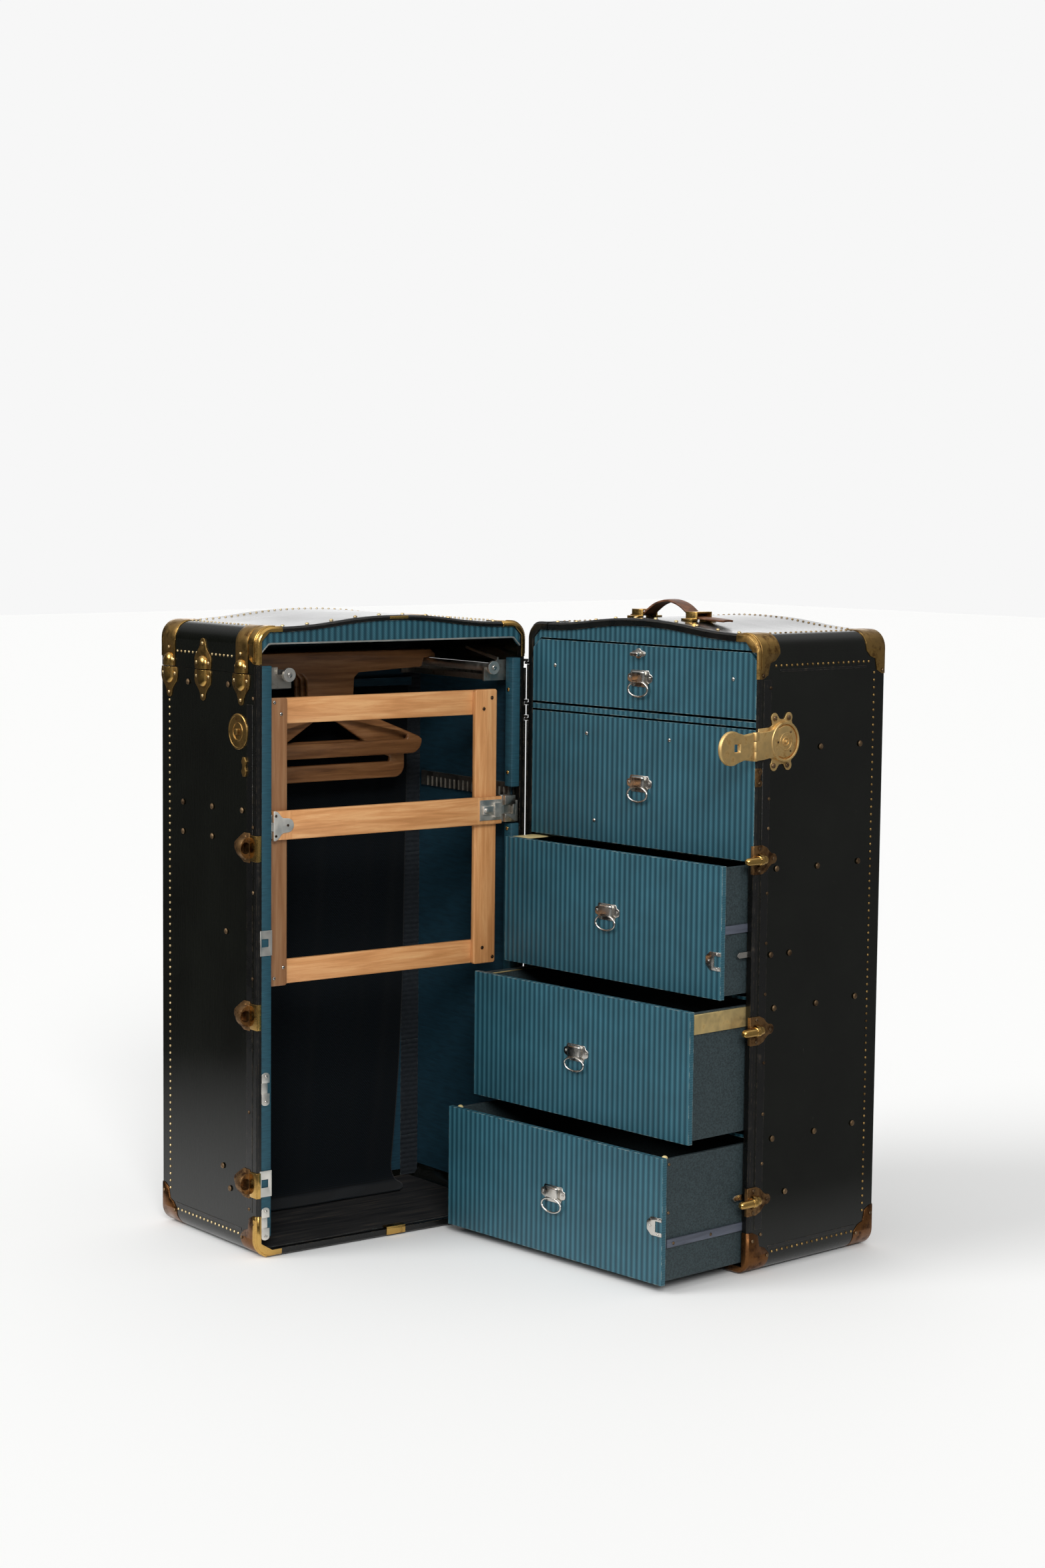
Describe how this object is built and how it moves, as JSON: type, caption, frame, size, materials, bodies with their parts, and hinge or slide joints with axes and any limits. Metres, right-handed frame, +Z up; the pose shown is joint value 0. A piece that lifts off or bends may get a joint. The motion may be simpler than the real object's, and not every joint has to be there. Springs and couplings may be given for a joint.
{
  "type": "wardrobe trunk",
  "caption": "Upright steamer wardrobe trunk open like a book: hanger side with slatted gate, drawer side with stepped-out drawers, brass corners and a hinged lid.",
  "frame": {"origin": "on the floor at the centre of the drawer half's footprint", "axes": "+X along the drawer half's width from the hinge side to the lock side, +Y from the drawer fronts to its back, +Z up"},
  "size_m": [0.8862, 0.8356, 1.047],
  "materials": {
    "green_fibre": "semi-gloss dark green vulcanised fibre over thin board",
    "black_binding": "glossy black bound edge",
    "teal_board": "blue-green ribbed paper over board",
    "drawer_board": "pale buff board",
    "hardwood": "clear-varnished light hardwood",
    "brass": "worn polished brass",
    "nickel": "bright nickel plate, slightly worn",
    "dark_cloth": "dark blue-grey woven cloth",
    "black_leather": "dark brown-black leather",
    "runner_wood": "waxed hardwood"
  },
  "bodies": {
    "drawer_half": {"drawer_half_shell": "green_fibre", "drawer_half_edge_bead": "black_binding", "drawer_half_fascia": "teal_board", "drawer_half_dividers": "drawer_board", "drawer_half_corners": "brass", "drawer_half_dowel_plates": "brass", "lock_base": "brass", "handle_strap": "black_leather", "handle_loops": "brass", "nickel_prongs": "nickel", "hinge_leaves_drawer_side": "nickel"},
    "hasp_flap": {"lock_hasp": "brass"},
    "turn_knob": {"drawer_1_knob": "brass"},
    "hanger_half": {"hanger_half_shell": "green_fibre", "hanger_half_edge_bead": "black_binding", "hanger_half_battens": "teal_board", "hanger_half_lining": "dark_cloth", "curtain": "dark_cloth", "hanger_half_corners": "brass", "lid_hinge_lower_leaves": "brass", "dowel_sockets": "brass", "nickel_catch_plates": "nickel", "trolley_brackets": "nickel", "gate_racks": "nickel", "hinge_leaves_hanger_side": "nickel"},
    "lid": {"lid_shell": "green_fibre", "lid_edge_bead": "black_binding", "lid_fascia": "teal_board", "lid_corners": "brass"},
    "trolley": {"trolley_rods": "nickel"},
    "gate_carriage": {"gate_slide_blocks": "nickel"},
    "gate": {"gate_frame": "hardwood", "gate_fittings": "nickel"},
    "bolt": {"gate_bolt": "nickel"},
    "drawer_1": {"drawer_1_front": "teal_board", "drawer_1_box": "drawer_board", "drawer_1_fittings": "brass"},
    "ring_1": {"drawer_1_ring": "brass"},
    "drawer_2": {"drawer_2_front": "teal_board", "drawer_2_box": "drawer_board", "drawer_2_fittings": "brass"},
    "ring_2": {"drawer_2_ring": "brass"},
    "drawer_3": {"drawer_3_front": "teal_board", "drawer_3_box": "drawer_board", "drawer_3_fittings": "brass", "drawer_3_runners": "runner_wood"},
    "ring_3": {"drawer_3_ring": "brass"},
    "drawer_4": {"drawer_4_front": "teal_board", "drawer_4_box": "drawer_board", "drawer_4_fittings": "brass", "drawer_4_rails": "brass"},
    "ring_4": {"drawer_4_ring": "brass"},
    "drawer_5": {"drawer_5_front": "teal_board", "drawer_5_box": "drawer_board", "drawer_5_fittings": "brass", "drawer_5_runners": "runner_wood"},
    "ring_5": {"drawer_5_ring": "brass"},
    "hanger_1": {"hanger_1": "hardwood"},
    "hanger_2": {"hanger_2": "hardwood"},
    "hanger_3": {"hanger_3": "hardwood"}
  },
  "joints": [
    {"name": "halves_hinge", "type": "hinge", "parent": "drawer_half", "child": "hanger_half", "pos_m": [-0.2636, -0.149, 0.5], "axis": [0, 0, 1], "range_deg": [-75, 8]},
    {"name": "lid_hinge", "type": "hinge", "parent": "hanger_half", "child": "lid", "pos_m": [-0.46253, -0.65954, 0.9273], "axis": [0.9956, -0.0941, 0], "range_deg": [0, 95]},
    {"name": "hasp_hinge", "type": "hinge", "parent": "drawer_half", "child": "hasp_flap", "pos_m": [0.267, -0.16, 0.831], "axis": [0, 0, 1], "range_deg": [0, 95]},
    {"name": "knob_turn", "type": "hinge", "parent": "drawer_1", "child": "turn_knob", "pos_m": [0.001, -0.157, 0.9595], "axis": [0, -1, 0], "range_deg": [0, 90]},
    {"name": "trolley_slide", "type": "slide", "parent": "hanger_half", "child": "trolley", "axis": [-0.9956, 0.0941, 0], "range_m": [-0.15, 0]},
    {"name": "gate_carriage_slide", "type": "slide", "parent": "hanger_half", "child": "gate_carriage", "axis": [-0.9956, 0.0941, 0], "range_m": [0, 0.04]},
    {"name": "gate_hinge", "type": "hinge", "parent": "gate_carriage", "child": "gate", "pos_m": [-0.32032, -0.63743, 0.687], "axis": [0, 0, -1], "range_deg": [0, 90]},
    {"name": "bolt_slide", "type": "slide", "parent": "gate", "child": "bolt", "axis": [0.0941, 0.9956, 0], "range_m": [0, 0.012]},
    {"name": "drawer_1_slide", "type": "slide", "parent": "drawer_half", "child": "drawer_1", "axis": [0, -1, 0], "range_m": [0, 0.225]},
    {"name": "ring_1_swing", "type": "hinge", "parent": "drawer_1", "child": "ring_1", "pos_m": [0.005, -0.1542, 0.9135], "axis": [-1, 0, 0], "range_deg": [0, 90]},
    {"name": "drawer_2_slide", "type": "slide", "parent": "drawer_half", "child": "drawer_2", "axis": [0, -1, 0], "range_m": [0, 0.225]},
    {"name": "ring_2_swing", "type": "hinge", "parent": "drawer_2", "child": "ring_2", "pos_m": [0.007, -0.1542, 0.745], "axis": [-1, 0, 0], "range_deg": [0, 90]},
    {"name": "drawer_3_slide", "type": "slide", "parent": "drawer_half", "child": "drawer_3", "axis": [0, -1, 0], "range_m": [-0.0579, 0.167]},
    {"name": "ring_3_swing", "type": "hinge", "parent": "drawer_3", "child": "ring_3", "pos_m": [-0.003, -0.2121, 0.542], "axis": [-1, 0, 0], "range_deg": [0, 90]},
    {"name": "drawer_4_slide", "type": "slide", "parent": "drawer_half", "child": "drawer_4", "axis": [0, -1, 0], "range_m": [-0.1232, 0.102]},
    {"name": "ring_4_swing", "type": "hinge", "parent": "drawer_4", "child": "ring_4", "pos_m": [-0.0025, -0.2774, 0.32], "axis": [-1, 0, 0], "range_deg": [0, 90]},
    {"name": "drawer_5_slide", "type": "slide", "parent": "drawer_half", "child": "drawer_5", "axis": [0, -1, 0], "range_m": [-0.1772, 0.048]},
    {"name": "ring_5_swing", "type": "hinge", "parent": "drawer_5", "child": "ring_5", "pos_m": [0.006, -0.3314, 0.103], "axis": [-1, 0, 0], "range_deg": [0, 90]},
    {"name": "hanger_1_slide", "type": "slide", "parent": "trolley", "child": "hanger_1", "axis": [-0.9956, 0.0941, 0], "range_m": [-0.12, 0.008]},
    {"name": "hanger_2_slide", "type": "slide", "parent": "trolley", "child": "hanger_2", "axis": [-0.9956, 0.0941, 0], "range_m": [-0.008, 0.008]},
    {"name": "hanger_3_slide", "type": "slide", "parent": "trolley", "child": "hanger_3", "axis": [-0.9956, 0.0941, 0], "range_m": [-0.008, 0.008]}
  ]
}
